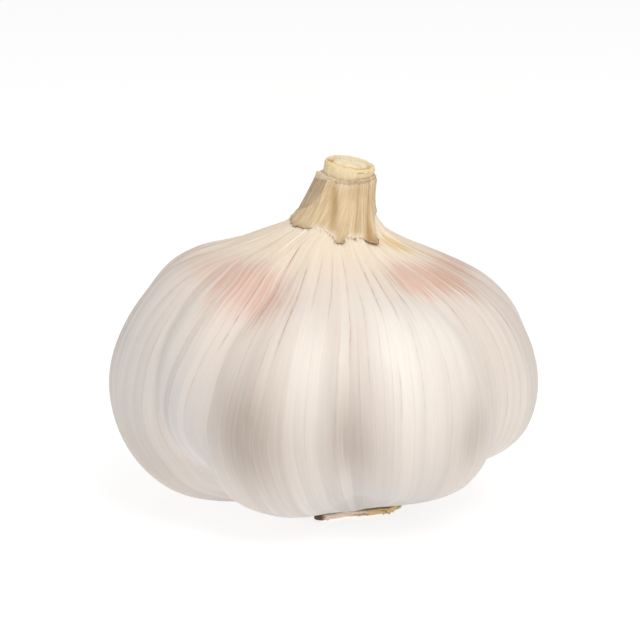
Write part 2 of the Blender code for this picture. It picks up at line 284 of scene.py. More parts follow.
# The sheath's two leaves
LEAF = 0.20 * MM
SHEATH_GAP = 0.05 * MM
LAYER_GAP = 0.26 * MM
INNER_HEM_LIFT = 0.5 * MM
RIM_CLOSE = 0.50 * MM
FRONT_DIP = 0.30 * MM
FRONT_DIP_PLACE = (10.0, 42.0)
RIM_LIFT = 0.55 * MM
RIM_LIFT_PLACE = (-85.0, 55.0)
LEFT_SWELL = 0.22 * MM
LIP_LIFT = 0.15 * MM
LIP_FLARE = 0.05 * MM
LIP_FROM = (-125.0, -95.0)
LIP_TO = (-38.0, -18.0)
FREE_EDGE_LIFT = 0.22 * MM
FREE_EDGE_PLACE = (-38.0, 9.0)
HEM_SINK = 0.45 * MM  # how far the hem dips into the skin where it isn't worn
WORN_HEM = (8.35 * MM, 8.9 * MM)  # the hem's reach where its wear starts, and where it is full
# Grooves of the outer leaf: azimuths at the hem, half way and the rim; the width in degrees; the
# depth in millimetres at four heights
SHEATH_GROOVES = (
    ((2.0, -14.0, -27.0), 5.5, (0.20, 0.32, 0.26, 0.08)),
    ((43.0, 48.0, 52.0), 4.0, (0.40, 0.34, 0.12, 0.00)),
    ((14.0, 13.0, 10.0), 3.0, (0.15, 0.12, 0.10, 0.05)),
    ((27.0, 27.0, 26.0), 3.0, (0.22, 0.16, 0.10, 0.04)),
    ((84.0, 84.0, 84.0), 4.0, (0.35, 0.25, 0.12, 0.05)),
    ((140.0, 142.0, 144.0), 5.0, (0.35, 0.30, 0.15, 0.05)),
    ((196.0, 194.0, 192.0), 4.0, (0.30, 0.25, 0.12, 0.05)),
)
# Where the outer leaf ends at its top: (azimuth, height)
TORN_EDGE = (
    (-180.0, 47.0 * MM),
    (-165.0, 46.9 * MM),
    (-155.0, 46.0 * MM),
    (-135.0, 43.7 * MM),
    (-115.0, 42.4 * MM),
    (-95.0, 42.0 * MM),
    (-78.0, 42.2 * MM),
    (-65.0, 42.8 * MM),
    (-57.0, 43.1 * MM),
    (-49.5, 43.6 * MM),
    (-45.0, 44.4 * MM),
    (-41.0, 45.4 * MM),
    (-38.5, 46.3 * MM),
    (-36.5, 47.0 * MM),
    (180.0, 47.0 * MM),
)
HEM_FIBRES = 110
FIBRE_SEED = 71
HEM_FIBRE = {
    "Thickness": 0.045 * MM,
    "Taper": 0.3,
    "Sway": 0.18 * MM,
    "Joints": 5,
    "Sides": 4,
    "Lowest": 0.0,
    "Seed": 9,
}

# The cut face of the stalk, its rings as shares of the radius
CUT_EDGE = 0.3 * MM
EDGE_START = 0.93
RIND_RING = 0.90
RIND_HEIGHT = 0.10 * MM
SPLIT_RING = 0.74
PITH_REACH = 0.70
PITH_SWELL = 0.22 * MM
SPLIT_PLACE = (22.0, 55.0)
SPLIT_DEPTH = 0.40 * MM
PIT_PLACE = (-2.65 * MM, 0.10 * MM)
PIT_RADIUS = 0.34 * MM
PIT_DEPTH = 0.55 * MM

# Ripples of the surfaces: (height, waves round, waves up, seed)
SWELLS = ((0.14 * MM, 34, 6, 22),)
GATHERS = ((0.12 * MM, 120, 8, 23),)
HEM_FRAY = ((0.14 * MM, 86, 1, 31), (0.07 * MM, 190, 1, 32))
WALL_WAVES = ((0.06 * MM, 58, 3, 33), (0.03 * MM, 150, 4, 34))
INNER_TOP_WAVES = ((0.10 * MM, 40, 1, 35),)
INNER_WALL_WAVES = ((0.05 * MM, 64, 3, 36),)
OUTER_TOP_WAVES = ((0.12 * MM, 70, 1, 38),)
STALK_RIBS = ((0.06 * MM, 46, 2, 41),)
RIND_WAVES = ((0.6, 22, 1, 42),)
CUT_WAVES = ((0.05 * MM, 60, 14, 43), (0.07 * MM, 14, 6, 44))
CORK_PITS = ((0.12 * MM, 46, 11, 51), (0.05 * MM, 90, 16, 52))
RIM_FRAY = ((0.16 * MM, 70, 1, 53), (0.10 * MM, 130, 1, 54))
RIM_LAYERS = ((0.09 * MM, 34, 5, 55),)
RIM_WAVES = ((0.05 * MM, 60, 3, 56),)

# The root plate and its roots
EDGE_SECTION = (*RIM_SECTION, (0.985, 1.05 * MM))
LAYERED_HEIGHT = 1.1 * MM
WORN_TIP = (-5.5 * MM, -8.0 * MM, 0.4 * MM)  # the dark end of the root plate's longest tongue
ROOT_COUNT = 420
ROOT_SEED = 61
FRONT_ROOTS = 0.22  # how long they are at the front, as a share of the others
ROOT_STUB = {
    "Thickness": 0.17 * MM,
    "Taper": 0.45,
    "Sway": 0.35 * MM,
    "Joints": 5,
    "Sides": 6,
    "Lowest": 0.03 * MM,
    "Seed": 7,
}

# The view and the light
CAMERA_ELEVATION = 12.0
CAMERA_TARGET = Vector((-4.91, 5.42, 25.51)) * MM
CAMERA_DISTANCE = 420.0 * MM
CAMERA_LENS = 168.5
STAGE_SIZE = 6.0
STAGE_DROP = 0.02 * MM
FLOOR_GLOW = 0.78
FLOOR_PALE = 0.33
WORLD_LIGHT = 0.38
# Square lamps: their places in degrees and metres round the bulb's middle, and their power in watts
Softbox = namedtuple("Softbox", "name azimuth elevation distance size power colour")
SOFTBOXES = (
    Softbox("key", 24.0, 46.0, 0.95, 0.50, 4.5, (1.0, 0.978, 0.945)),
    Softbox("overhead", -20.0, 80.0, 1.10, 0.90, 2.9, (1.0, 0.99, 0.97)),
    Softbox("fill", -62.0, 24.0, 1.10, 0.60, 0.5, (0.96, 0.98, 1.0)),
)


def smooth_curve(points, count):
    """Evenly spaced points of a smooth curve through the given ones."""
    given = np.array(points, float)
    ends = np.vstack([2 * given[0] - given[1], given, 2 * given[-1] - given[-2]])
    fine = []
    for start in range(len(given) - 1):
        a, b, c, d = ends[start : start + 4]
        for u in np.linspace(0, 1, SPAN_STEPS, endpoint=False):
            bend = 2 * a - 5 * b + 4 * c - d
            turn = 3 * b - a - 3 * c + d
            fine.append(0.5 * (2 * b + (c - a) * u + bend * u**2 + turn * u**3))
    fine = np.array([*fine, given[-1]])
    walked = np.concatenate([[0], np.cumsum(np.linalg.norm(np.diff(fine, axis=0), axis=1))])
    even = np.linspace(0, walked[-1], count)
    return np.stack([np.interp(even, walked, fine[:, k]) for k in range(given.shape[1])], axis=1)


AXIS_CURVE = smooth_curve(AXIS, AXIS_STEPS)


def axis_offset(height):
    return np.interp(height, AXIS_CURVE[:, 0], AXIS_CURVE[:, 1])


def turn_between(azimuth, other):
    """The signed angle from one azimuth to another, in degrees."""
    return (azimuth - other + 180.0) % 360.0 - 180.0


def bell(distance, spread):
    """1 at no distance, falling to nothing beyond the spread."""
    return np.exp(-((distance / spread) ** 2))


def near(azimuth, place, spread):
    """1 at the azimuth of a place, falling to nothing beyond a spread in degrees."""
    return bell(turn_between(azimuth, place), spread)


def ramp(value, low, high):
    """0 below low and 1 above high, with a smooth rise between them."""
    up = np.clip((value - low) / (high - low), 0.0, 1.0)
    return up * up * (3.0 - 2.0 * up)


def ripple(turn, up, waves_round, waves_up, seed):
    """Smooth noise from -1 to 1 over whole turns and a height from 0 to 1, closed round the turn."""
    knots = np.random.default_rng(seed).uniform(-1.0, 1.0, (waves_up + 2, waves_round))
    across = turn % 1.0 * waves_round
    along = np.clip(up, 0.0, 1.0) * waves_up
    column = np.floor(across).astype(int)
    row = np.floor(along).astype(int)
    right = ramp(across - column, 0.0, 1.0)
    above = ramp(along - row, 0.0, 1.0)
    here = column % waves_round
    after = (column + 1) % waves_round
    low = knots[row, here] * (1 - right) + knots[row, after] * right
    high = knots[row + 1, here] * (1 - right) + knots[row + 1, after] * right
    return low * (1 - above) + high * above


def ripples(turn, up, kinds, least=-1.0):
    """The sum of several ripples. What each has below least, in shares of its height, is cut off."""
    return sum(height * np.maximum(ripple(turn, up, *waves), least) for height, *waves in kinds)


def round_plate(azimuth, radius, height, middle=0.0):
    """Points round the root plate's middle, or round one moved along X by middle."""
    angle = np.radians(azimuth)
    x = middle + radius * np.sin(angle)
    return np.stack(np.broadcast_arrays(x, -radius * np.cos(angle), height), axis=-1)


def round_axis(azimuth, radius, height):
    """Points round the plant's leaning axis."""
    return round_plate(azimuth, radius, height, axis_offset(height))


def unit_circle(turn, up):
    """Where points lie on a circle of radius 1, with the share of the way up, for grain along a piece."""
    angle = 2 * math.pi * turn
    return np.stack(np.broadcast_arrays(np.cos(angle), np.sin(angle), up), axis=-1)


def full_turn(columns):
    """Azimuths of a piece's columns, in degrees, from the back round to the back."""
    return np.linspace(-180.0, 180.0, columns, endpoint=False)[None, :]


def add_object(name, data):
    made = bpy.data.objects.new(name, data)
    bpy.context.scene.collection.objects.link(made)
    return made


def new_piece(name, verts, faces, material):
    mesh = bpy.data.meshes.new(name)
    mesh.from_pydata(verts.reshape(-1, 3).tolist(), [], faces)
    mesh.shade_smooth()
    mesh.materials.append(material)
    return add_object(name, mesh)


def ring_faces(rings, columns, closed=False):
    """Faces between neighbouring rings of points and, if closed, between the last and the first."""
    here = np.arange(columns)
    after = (here + 1) % columns
    faces = []
    for ring in range(rings if closed else rings - 1):
        low = ring * columns
        high = (ring + 1) % rings * columns
        faces += np.stack([low + here, low + after, high + after, high + here], axis=1).tolist()
    return faces


def solid_of_rings(name, points, material):
    """A closed body over a grid of points, listed bottom to top, with a point in each end."""
    rings, columns, _ = points.shape
    faces = ring_faces(rings, columns)
    foot, head = rings * columns, rings * columns + 1
    top = foot - columns
    for k in range(columns):
        after = (k + 1) % columns
        faces.append((foot, after, k))
        faces.append((head, top + k, top + after))
    ends = np.stack([points[0].mean(0), points[-1].mean(0)])
    return new_piece(name, np.vstack([points.reshape(-1, 3), ends]), faces, material)


def shell_of_rings(name, outer, inner, material):
    """A closed thin wall: up its outer grid of points and down its inner one."""
    points = np.concatenate([outer, inner[::-1]])
    rings, columns, _ = points.shape
    return new_piece(name, points, ring_faces(rings, columns, closed=True), material)


def write_values(piece, name, values, width=1):
    """Stores a value for each point of the piece, for its material. What is left over gets 0."""
    held = np.zeros((len(piece.data.vertices), width), np.float32)
    given = np.asarray(values, np.float32).reshape(-1, width)
    held[: len(given)] = given
    kind, field = ("FLOAT", "value") if width == 1 else ("FLOAT_VECTOR", "vector")
    piece.data.attributes.new(name, kind, "POINT").data.foreach_set(field, held.ravel())


def write_vectors(piece, name, vectors):
    write_values(piece, name, vectors, 3)


def write_map(piece, name, across, up, around):
    """A UV map from values on the grid's points. Across grows by around over the whole turn."""
    mesh = piece.data
    columns = across.shape[1]
    corners = np.zeros(len(mesh.loops), int)
    mesh.loops.foreach_get("vertex_index", corners)
    totals = np.zeros(len(mesh.polygons), int)
    mesh.polygons.foreach_get("loop_total", totals)
    on_grid = corners < across.size
    point = np.minimum(corners, across.size - 1)
    u, v = (np.where(on_grid, values.ravel()[point], 0.0) for values in (across, up))
    column = corners % columns
    face = np.repeat(np.arange(len(totals)), totals)
    last = np.zeros(len(totals), bool)
    np.logical_or.at(last, face[on_grid], column[on_grid] == columns - 1)
    u += around * (last[face] & on_grid & (column == 0))
    layer = mesh.uv_layers.new(name=name)
    layer.data.foreach_set("uv", np.stack([u, v], axis=1).astype(np.float32).ravel())


class Wire:
    """A socket of a node tree, for sums that are written as Python expressions."""

    def __init__(self, tree, socket=None):
        self.tree = tree
        self.socket = socket

    def node(self, kind, settings=None, sockets=None, out=0):
        """Adds a node: its settings first, then the values or links of its sockets."""
        made = self.tree.nodes.new(kind)
        for name, value in (settings or {}).items():
            setattr(made, name, value)
        for name, value in (sockets or {}).items():
            if isinstance(value, Wire):
                self.tree.links.new(value.socket, made.inputs[name])
            else:
                made.inputs[name].default_value = value
        return None if out is None else Wire(self.tree, made.outputs[out])

    def math(self, operation, *others, clamp=False):
        settings = {"operation": operation, "use_clamp": clamp}
        return self.node("ShaderNodeMath", settings, dict(enumerate((self, *others))))

    def __add__(self, other):
        return self.math("ADD", other)

    __radd__ = __add__

    def __mul__(self, other):
        return self.math("MULTIPLY", other)

    __rmul__ = __mul__

    def __sub__(self, other):
        return self.math("SUBTRACT", other)

    def __rsub__(self, other):
        return self.node("ShaderNodeMath", {"operation": "SUBTRACT"}, {0: other, 1: self})

    def __pow__(self, other):
        return self.math("POWER", other)

    def __abs__(self):
        return self.math("ABSOLUTE")

    def clamp(self):
        return self.math("ADD", 0.0, clamp=True)

    def rise(self, low, high):
        """0 where this is below low and 1 above high, with a smooth rise between them."""
        places = {"Value": self, "From Min": low, "From Max": high}
        return self.node("ShaderNodeMapRange", {"interpolation_type": "SMOOTHSTEP"}, places)

    def part(self, axis):
        """One component of this vector."""
        return self.node("ShaderNodeSeparateXYZ", None, {"Vector": self}, axis)

    def stretch(self, x, y, z):
        """This vector, scaled along each axis."""
        return self.node("ShaderNodeVectorMath", {"operation": "MULTIPLY"}, {0: self, 1: (x, y, z)})

    def noise(self, scale, detail=2.0, roughness=0.5):
        """Noise from 0 to 1 at this place."""
        sockets = {"Vector": self, "Scale": scale, "Detail": detail, "Roughness": roughness}
        return self.node("ShaderNodeTexNoise", None, sockets, "Fac")


def tint(*levels):
    """The linear colour of three 8-bit screen values."""
    shares = [level / 255 for level in levels]
    linear = [v / 12.92 if v <= 0.04045 else ((v + 0.055) / 1.055) ** 2.4 for v in shares]
    return (*linear, 1.0)


def mixed(factor, first, second):
    """Two colours mixed: the first at factor 0, the second at 1."""
    settings = {"data_type": "RGBA", "clamp_factor": True}
    return factor.node("ShaderNodeMix", settings, {0: factor, 6: first, 7: second}, 2)


def layered(ground, *layers):
    """A ground colour under layers of others, each given by its factor and its colour."""
    for factor, colour in layers:
        ground = mixed(factor, ground, colour)
    return ground


IVORY = tint(225, 214, 205)
PALE = tint(243, 236, 228)
COOL = tint(214, 209, 207)
# Painted shade: the grey of the bulb's underside and of the dark bands
SHADE_GREY = tint(189, 182, 177)
CREAM = tint(241, 225, 203)
SHADE = tint(184, 171, 161)
BLUSH = tint(219, 184, 168)
BEIGE = tint(224, 205, 187)
GOLD = tint(226, 194, 138)
RUSTY = tint(202, 152, 128)
FIBRE = tint(214, 200, 184)
OCHRE = tint(205, 178, 138)
PURPLE = tint(160, 112, 98)
LEAF_CREAM = tint(236, 216, 182)
LEAF_TAN = tint(196, 166, 124)
LEAF_GROOVE_SHADE = tint(176, 136, 82)
STRAW = tint(240, 224, 186)
RIM_PALE = tint(240, 226, 196)
HEM_BROWN = tint(166, 128, 84)
SLATE_PALE = tint(222, 202, 174)
SLATE_BROWN = tint(170, 140, 108)
PITH = tint(228, 207, 166)
PITH_PALE = tint(250, 238, 212)
RIND = tint(230, 206, 148)
SPLIT_GOLD = tint(196, 148, 74)
RUST = tint(168, 96, 44)
STALK_SIDE = tint(226, 204, 162)
STALK_SIDE_PALE = tint(242, 226, 192)
CORK_DARK = tint(84, 62, 36)
CORK_TAN = tint(236, 212, 184)
CORK_PALE = tint(252, 238, 222)
CORK_ROSE = tint(246, 218, 202)
CORK_GOLD = tint(226, 192, 124)
ROOT_DARK = tint(132, 104, 58)
ROOT_TAN = tint(208, 180, 122)
FIBRE_BROWN = tint(196, 166, 124)
FIBRE_STRAW = tint(240, 222, 190)


def new_material(name):
    """A material with an empty tree, and a Wire to build it with."""
    material = bpy.data.materials.new(name)
    material.use_nodes = True
    material.node_tree.nodes.clear()
    return material, Wire(material.node_tree)


def end_in_shader(tree, sockets):
    """Ends a tree in a Principled shader."""
    shader = tree.node("ShaderNodeBsdfPrincipled", None, sockets)
    tree.node("ShaderNodeOutputMaterial", None, {"Surface": shader}, None)


def finish_material(tree, colour, roughness, height, depth, steady=None):
    """Ends a tree in a Principled shader, with a bump of a real depth in metres."""
    bump = height.node("ShaderNodeBump", None, {"Strength": 1.0, "Distance": depth, "Height": height})
    end_in_shader(tree, {"Base Color": colour, "Roughness": roughness, "Normal": bump, **(steady or {})})


def stored(tree, name, out="Fac"):
    """A value that a piece carries at its points."""
    return tree.node("ShaderNodeAttribute", {"attribute_name": name}, None, out)


def object_place(tree):
    """Where a point lies in the part's frame, in metres."""
    return tree.node("ShaderNodeTexCoord", None, None, "Object")


def skin_section(count):
    """The outline's points from the root plate up to the neck, and the way each one faces."""
    points = smooth_curve([(r * REACH, z * BODY_HEIGHT) for r, z in OUTLINE], count)
    along = np.gradient(points, axis=0)
    facing = np.stack([along[:, 1], -along[:, 0]], axis=1)
    return points, facing / np.linalg.norm(facing, axis=1)[:, None]


def skin_relief(azimuth, share):
    """How far the cloves push the skin out from the outline, at a share of the way up it."""
    depth = np.maximum(CREASE_DEPTH * np.interp(share, *zip(*CREASE_RUN)), 1e-6)
    backs = []
    for clove in CLOVES:
        stands_out = MM * (
            clove.widest * bell(share - WIDEST_PLACE[0], WIDEST_PLACE[1])
            + clove.shoulder * bell(share - SHOULDER_PLACE[0], SHOULDER_PLACE[1])
            + clove.under * bell(share - UNDER_PLACE[0], UNDER_PLACE[1])
        )
        off = turn_between(azimuth, clove.azimuth + clove.twist * (share - 0.5)) / clove.half_angle
        backs.append(stands_out / depth - off**2)
    backs = np.array(backs)
    highest = backs.max(0)
    crowding = np.exp((backs - highest) / CREASE_SOFTNESS).sum(0)
    return depth * (highest + CREASE_SOFTNESS * np.log(crowding)) * (1 - ramp(share, 0.84, 0.90))


def all_veins():
    """The veins right round the bulb, in their order: strong ones in front, faint ones between."""
    chance = np.random.default_rng(VEIN_SEED)
    veins = list(FRONT_VEINS)
    for left, right in zip(FRONT_VEINS, FRONT_VEINS[1:]):
        if right.line[1] - left.line[1] > VEIN_STEP[0]:
            share = chance.uniform(0.35, 0.65)
            line = tuple(a + (b - a) * share for a, b in zip(left.line, right.line))
            ends = chance.uniform(0.30, 0.42), chance.uniform(0.55, 0.85)
            veins.append(Vein(line, *ends, chance.uniform(0.08, 0.25)))
    azimuth = FRONT_VEINS[-1].line[1] + chance.uniform(*VEIN_STEP)
    while azimuth < FRONT_VEINS[0].line[1] + 360.0 - VEIN_STEP[0]:
        lean = 5.0 * math.sin(math.radians(2.5 * azimuth))
        line = (azimuth - 0.8 * lean, azimuth, azimuth + 0.5 * lean, azimuth + 0.9 * lean)
        ends = chance.uniform(0.36, 0.64), chance.uniform(0.72, 0.88)
        veins.append(Vein(line, *ends, chance.uniform(0.15, 0.75)))
        azimuth += chance.uniform(*VEIN_STEP)
    return sorted(veins, key=lambda vein: vein.line[1])


def vein_field(azimuth, share):
    """Counts the veins round the turn: whole numbers lie on a vein. Also the angle between the
    two nearest veins, the angle to the nearest one, and that one's ink here."""
    veins = all_veins()
    count = len(veins)
    lines = np.array([np.interp(share, VEIN_SHARES, vein.line) for vein in veins]).T
    kernel = np.ones(VEIN_SMOOTHING) / VEIN_SMOOTHING
    padded = np.pad(lines, ((VEIN_SMOOTHING // 2, VEIN_SMOOTHING // 2), (0, 0)), mode="edge")
    lines = np.array([np.convolve(column, kernel, "valid") for column in padded.T]).T
    inks = []
    for vein in veins:
        starts = ramp(share, vein.bottom - 0.02, vein.bottom + 0.08)
        ends = 1 - ramp(share, vein.top - 0.05, vein.top + 0.03)
        inks.append(vein.ink * starts * ends)
    inks = np.array(inks).T
    number = np.arange(-count, 2 * count)
    counted, pitch, gap, ink = (np.zeros((len(share), azimuth.size)) for _ in range(4))
    for row, line in enumerate(lines):
        round_line = np.concatenate([line - 360.0, line, line + 360.0])
        counted[row] = np.interp(azimuth.ravel(), round_line, number)
        nearest = np.round(counted[row]).astype(int)
        below = np.clip(np.floor(counted[row]).astype(int) + count, 0, 3 * count - 2)
        pitch[row] = np.diff(round_line)[below]
        gap[row] = azimuth.ravel() - round_line[nearest + count]
        ink[row] = inks[row, nearest % count]
    return count, counted, pitch, gap, ink


def soft_patches(azimuth, share, places):
    """The soft sum of several patches, from 0 to about 1: stains, painted shade and painted highlights
    alike.
    """
    total = 0.0
    for at, height, spread, tall, strength in places:
        total = total + strength * near(azimuth, at, spread) * bell(share - height, tall)
    return total


def make_skin(material):
    """The papery skin over the cloves: ribs at the veins, flat panels between them, and gathers
    towards the neck."""
    points, facing = skin_section(SKIN_RINGS)
    share = np.linspace(0.0, 1.0, SKIN_RINGS)
    up = share[:, None]
    azimuth = full_turn(SKIN_COLUMNS)
    count, counted, pitch, gap, ink = vein_field(azimuth, share)
    turn = counted / count
    body = ramp(up, 0.10, 0.22) * (1 - ramp(up, 0.90, 0.97))
    gathered = ramp(up, 0.74, 0.88) * (1 - ramp(up, 0.95, 1.0))
    arc = np.radians(gap) * points[:, :1]
    crown = 1 - (2 * (counted % 1.0) - 1) ** 2
    relief = skin_relief(azimuth, up)
    spanned = ramp(up, 0.46, 0.58) * (1 - ramp(up, 0.78, 0.88))
    for at, twist, spread, height in BRIDGES:
        relief = relief + height * spanned * near(azimuth, at + twist * (up - 0.5), spread)
    hanging = ramp(up, 0.05, 0.12) * (1 - ramp(up, 0.24, 0.36))
    relief = relief + BELLY_FILL * hanging * near(azimuth, *BELLY_PLACE)
    relief = relief + body * (
        RIB_HEIGHT * (0.3 + ink) * bell(arc, RIB_WIDTH)
        + PANEL_CROWN * crown * np.minimum(pitch / PANEL_PITCH, 1.0)
        + ripples(turn, up, SWELLS)
    )
    relief = relief + gathered * ripples(turn, up, GATHERS)
    radius = points[:, :1] + facing[:, :1] * relief
    height = np.maximum(points[:, 1:] + facing[:, 1:] * relief, TABLE_GAP)
    grid = round_axis(azimuth, radius, height)
    recess_radii = (PLATE_RADIUS + 2 * GAP) * np.array(RECESS_RINGS)[:, None]
    recess = round_axis(azimuth, recess_radii, np.full(recess_radii.shape, PLATE_TOP + GAP))
    skin = solid_of_rings("garlic_skin", np.concatenate([recess, grid]), material)

    def with_recess(values):
        return np.concatenate([np.repeat(values[:1], len(RECESS_RINGS), axis=0), values])

    write_vectors(skin, "around", with_recess(unit_circle(turn, up)))
    write_map(skin, "grain", with_recess(counted), with_recess(np.broadcast_to(up, turn.shape)), count)
    write_values(skin, "pitch", with_recess(np.radians(pitch) * points[:, :1] / MM))
    write_values(skin, "ink", with_recess(ink))
    for label, kinds in (("stains", (BLUSHES, GOLDS, RUSTS)), ("tints_and_painted_light", (COOLS, SHADES, PAINTED_HIGHLIGHTS))):
        spots = np.stack([soft_patches(azimuth, up, places) for places in kinds], axis=-1)
        write_vectors(skin, label, with_recess(spots))
    return skin


def skin_material():
    """Dry papery skin: ivory, creamy at the neck, streaked, with blushes and broken veins, with
    painted shade in the creases and underneath, and painted highlights on the cloves.
    """
    material, tree = new_material("papery skin")
    around = stored(tree, "around", "Vector")
    grain = tree.node("ShaderNodeUVMap", {"uv_map": "grain"})
    up = grain.part("Y")
    place = object_place(tree)
    stains = stored(tree, "stains", "Vector")
    tints_and_painted_light = stored(tree, "tints_and_painted_light", "Vector")
    ink = stored(tree, "ink")

    fibres = around.stretch(150, 150, 6).noise(1.0, 3.0, 0.6)
    streaks = around.stretch(58, 58, 3).noise(1.0, 2.0, 0.5)
    bands = around.stretch(20, 20, 1.8).noise(1.0, 2.0, 0.5)
    ragged = around.stretch(34, 34, 11).noise(1.0, 4.0, 0.65)
    paper = place.noise(900.0, 3.0, 0.6)

    wander = (around.stretch(26, 26, 12).noise(1.0) - 0.5) * 0.22
    counted = grain.part("X") + wander
    number = counted.math("FLOOR").math("FLOORED_MODULO", float(len(all_veins())))
    panel = tree.node("ShaderNodeTexWhiteNoise", {"noise_dimensions": "1D"}, {"W": number}, "Value")
    off = abs(counted - counted.math("ROUND")) * stored(tree, "pitch")
    broken = around.stretch(60, 60, 34).noise(1.0, 2.0).rise(0.36, 0.60)
    vein = (1 - off.rise(0.01, 0.105)) * ink * (0.20 + 0.80 * broken) * 0.85
    halo = (1 - off.rise(0.05, 0.45)) * ink * 0.14
    below = up.rise(0.20, 0.36) * (1 - up.rise(0.58, 0.72))
    thread = (1 - off.rise(0.0, 0.08)) * below * bands.rise(0.42, 0.62) * 0.38

    # Light and dark vertical bands: each panel's own tint, with painted highlight and shade bands
    tone = bands * 0.6 + panel * 0.4
    rough_edge = (streaks - 0.5) * 0.7 + (panel - 0.5) * 0.25 + (ragged - 0.5) * 0.5
    strips = streaks.rise(0.40, 0.62) * (0.35 + 0.65 * fibres.rise(0.44, 0.60))
    blush = (stains.part("X") * (0.70 + 0.7 * strips) + rough_edge).rise(0.08, 1.00) * 0.95
    gold = (stains.part("Y") * 1.2 + (streaks - 0.5) * 1.9).rise(0.45, 1.00) * 0.85
    rust = (stains.part("Z") * 1.1).clamp() * strips * 0.75
    cream = (up + (ragged - 0.5) * 0.10).rise(0.66, 0.88)
    cool = (tints_and_painted_light.part("X") * (0.5 + bands)).clamp()
    # painted shade in the creases between the cloves
    shade = (tints_and_painted_light.part("Y") * (0.45 + streaks * 0.9)).clamp()
    # painted highlights on the cloves
    painted_highlight = (tints_and_painted_light.part("Z") * (0.40 + streaks * 0.5 + bands * 0.6)).clamp()
    # Painted shade: darker towards the bottom, under the bulb
    under = 1 - up.rise(0.10, 0.34)

    even = 1 - cream * 0.6
    colour = layered(
        IVORY,
        (cool * 0.9, COOL),
        # painted shade under the bulb
        (under * 0.95, SHADE_GREY),
        (cream, CREAM),
        # painted shade and highlight bands, with each panel's own tint
        ((0.50 - tone).clamp() * 1.3 * even, mixed(up.rise(0.5, 0.7), SHADE_GREY, BEIGE)),
        ((tone - 0.52).clamp() * 1.5 * even, PALE),
        (shade * 0.95, SHADE),
        (painted_highlight * 0.85, PALE),
        (blush, BLUSH),
        (gold, GOLD),
        ((fibres - 0.50).clamp() * 0.7, FIBRE),
        ((0.46 - fibres).clamp() * 1.1 * (1 - blush * 0.5), PALE),
        (rust, RUSTY),
        (thread, OCHRE),
        (halo, PURPLE),
        (vein, PURPLE),
    )

    roughness = 0.40 + 0.22 * fibres
    height = 0.55 * fibres + 0.30 * paper + 0.35 * streaks + 0.4 * (1 - off.rise(0.0, 0.16)) * ink
    steady = {
        "Subsurface Weight": 0.18,
        "Subsurface Scale": 1.6 * MM,
        "Subsurface Radius": (1.0, 0.62, 0.42),
        "Specular IOR Level": 0.4,
    }
    finish_material(tree, colour, roughness, height, 0.05 * MM, steady)
    return material


def sheath_core():
    """What the sheath wraps: the skin near the neck, then the stalk, as radii and heights."""
    points, facing = skin_section(SKIN_RINGS)
    wrapped = points[:, 1] > 0.9 * BODY_HEIGHT
    skin = points[wrapped] + facing[wrapped] * SHEATH_GAP
    stalk = np.array([(STALK_RADIUS, STALK_FOOT + GAP), (STALK_RADIUS, STALK_TOP)])
    section = np.vstack([skin, stalk])
    return section[:, 0], section[:, 1]


def sheath_wall(azimuth):
    """The sheath's wall round the turn: where its hem lies on the skin, and a function that gives
    its radius, its share of the way up and its grooves at a height."""
    core_radii, core_heights = sheath_core()
    turn = azimuth / 360.0
    hem = np.interp(azimuth, *zip(*HEM), period=360.0) + ripples(turn, 0 * turn, HEM_FRAY)
    rim = SHEATH_RIM_RADIUS
    for at, spread, reach in RIM_FOLDS:
        rim = rim + reach * near(azimuth, at, spread)
    left = near(azimuth, *LEFT_SIDE)
    flare = SHEATH_FLARE + (LEFT_FLARE - SHEATH_FLARE) * left
    low = np.interp(hem, core_radii[::-1], core_heights[::-1])

    def wall_at(height):
        up = np.clip((height - low) / (SHEATH_RIM - low), 0.0, 1.0)
        radius = rim + (hem - rim) * (1 - up) ** flare + LEFT_SWELL * left * np.sin(np.pi * up)
        radius = radius + ripples(turn, up, WALL_WAVES)
        groove = 0.0 * up
        for places, width, depth in SHEATH_GROOVES:
            at = np.interp(up, (0.0, 0.5, 1.0), places)
            deep = np.interp(up, (0.0, 0.25, 0.8, 1.0), depth)
            off = turn_between(azimuth, at)
            radius = radius - MM * deep * bell(off, width)
            groove = np.maximum(groove, np.minimum(1.0, 2.6 * deep) * bell(off, 1.2 * width))
        least = np.interp(height, core_heights, core_radii) + LEAST_WALL
        return np.maximum(radius, least), up, groove

    return low, wall_at


def leaf_of_sheath(name, outer, inner, material, up, groove, worn_and_shaded):
    """One leaf as a closed thin wall, with what its material reads: the way round, the share of the
    way up, the depth of its grooves, and the wear of its hem that also marks painted shade under it."""
    leaf = shell_of_rings(name, outer, inner, material)
    around = unit_circle(full_turn(SHEATH_COLUMNS) / 360.0, up)
    write_vectors(leaf, "around", np.concatenate([around, around[::-1]]))
    for label, values in (("up", up), ("groove", groove), ("worn_and_shaded", worn_and_shaded)):
        spread = np.broadcast_to(values, up.shape)
        write_values(leaf, label, np.concatenate([spread, spread[::-1]]))
    return leaf


def make_inner_sheath(material):
    """The inner leaf of the sheath: a sleeve that shows at the left and behind."""
    azimuth = full_turn(SHEATH_COLUMNS)
    turn = azimuth / 360.0
    core_radii, core_heights = sheath_core()
    low, wall_at = sheath_wall(azimuth)
    foot = low + INNER_HEM_LIFT
    top = SHEATH_RIM + RIM_LIFT * near(azimuth, *RIM_LIFT_PLACE) - 0.1 * MM
    top = top - FRONT_DIP * near(azimuth, *FRONT_DIP_PLACE) + ripples(turn, 0 * turn, INNER_TOP_WAVES)
    height = foot + (top - foot) * np.linspace(0.0, 1.0, SHEATH_RINGS)[:, None]
    radius, up, groove = wall_at(height)
    radius = radius - LAYER_GAP + ripples(turn, up, INNER_WALL_WAVES)
    inner_radius = np.minimum(np.interp(height, core_heights, core_radii), radius - 0.3 * LEAF)
    outer = round_axis(azimuth, radius, height)
    inner = round_axis(azimuth, inner_radius, height)
    return leaf_of_sheath("inner_sheath", outer, inner, material, up, groove, 0.5)


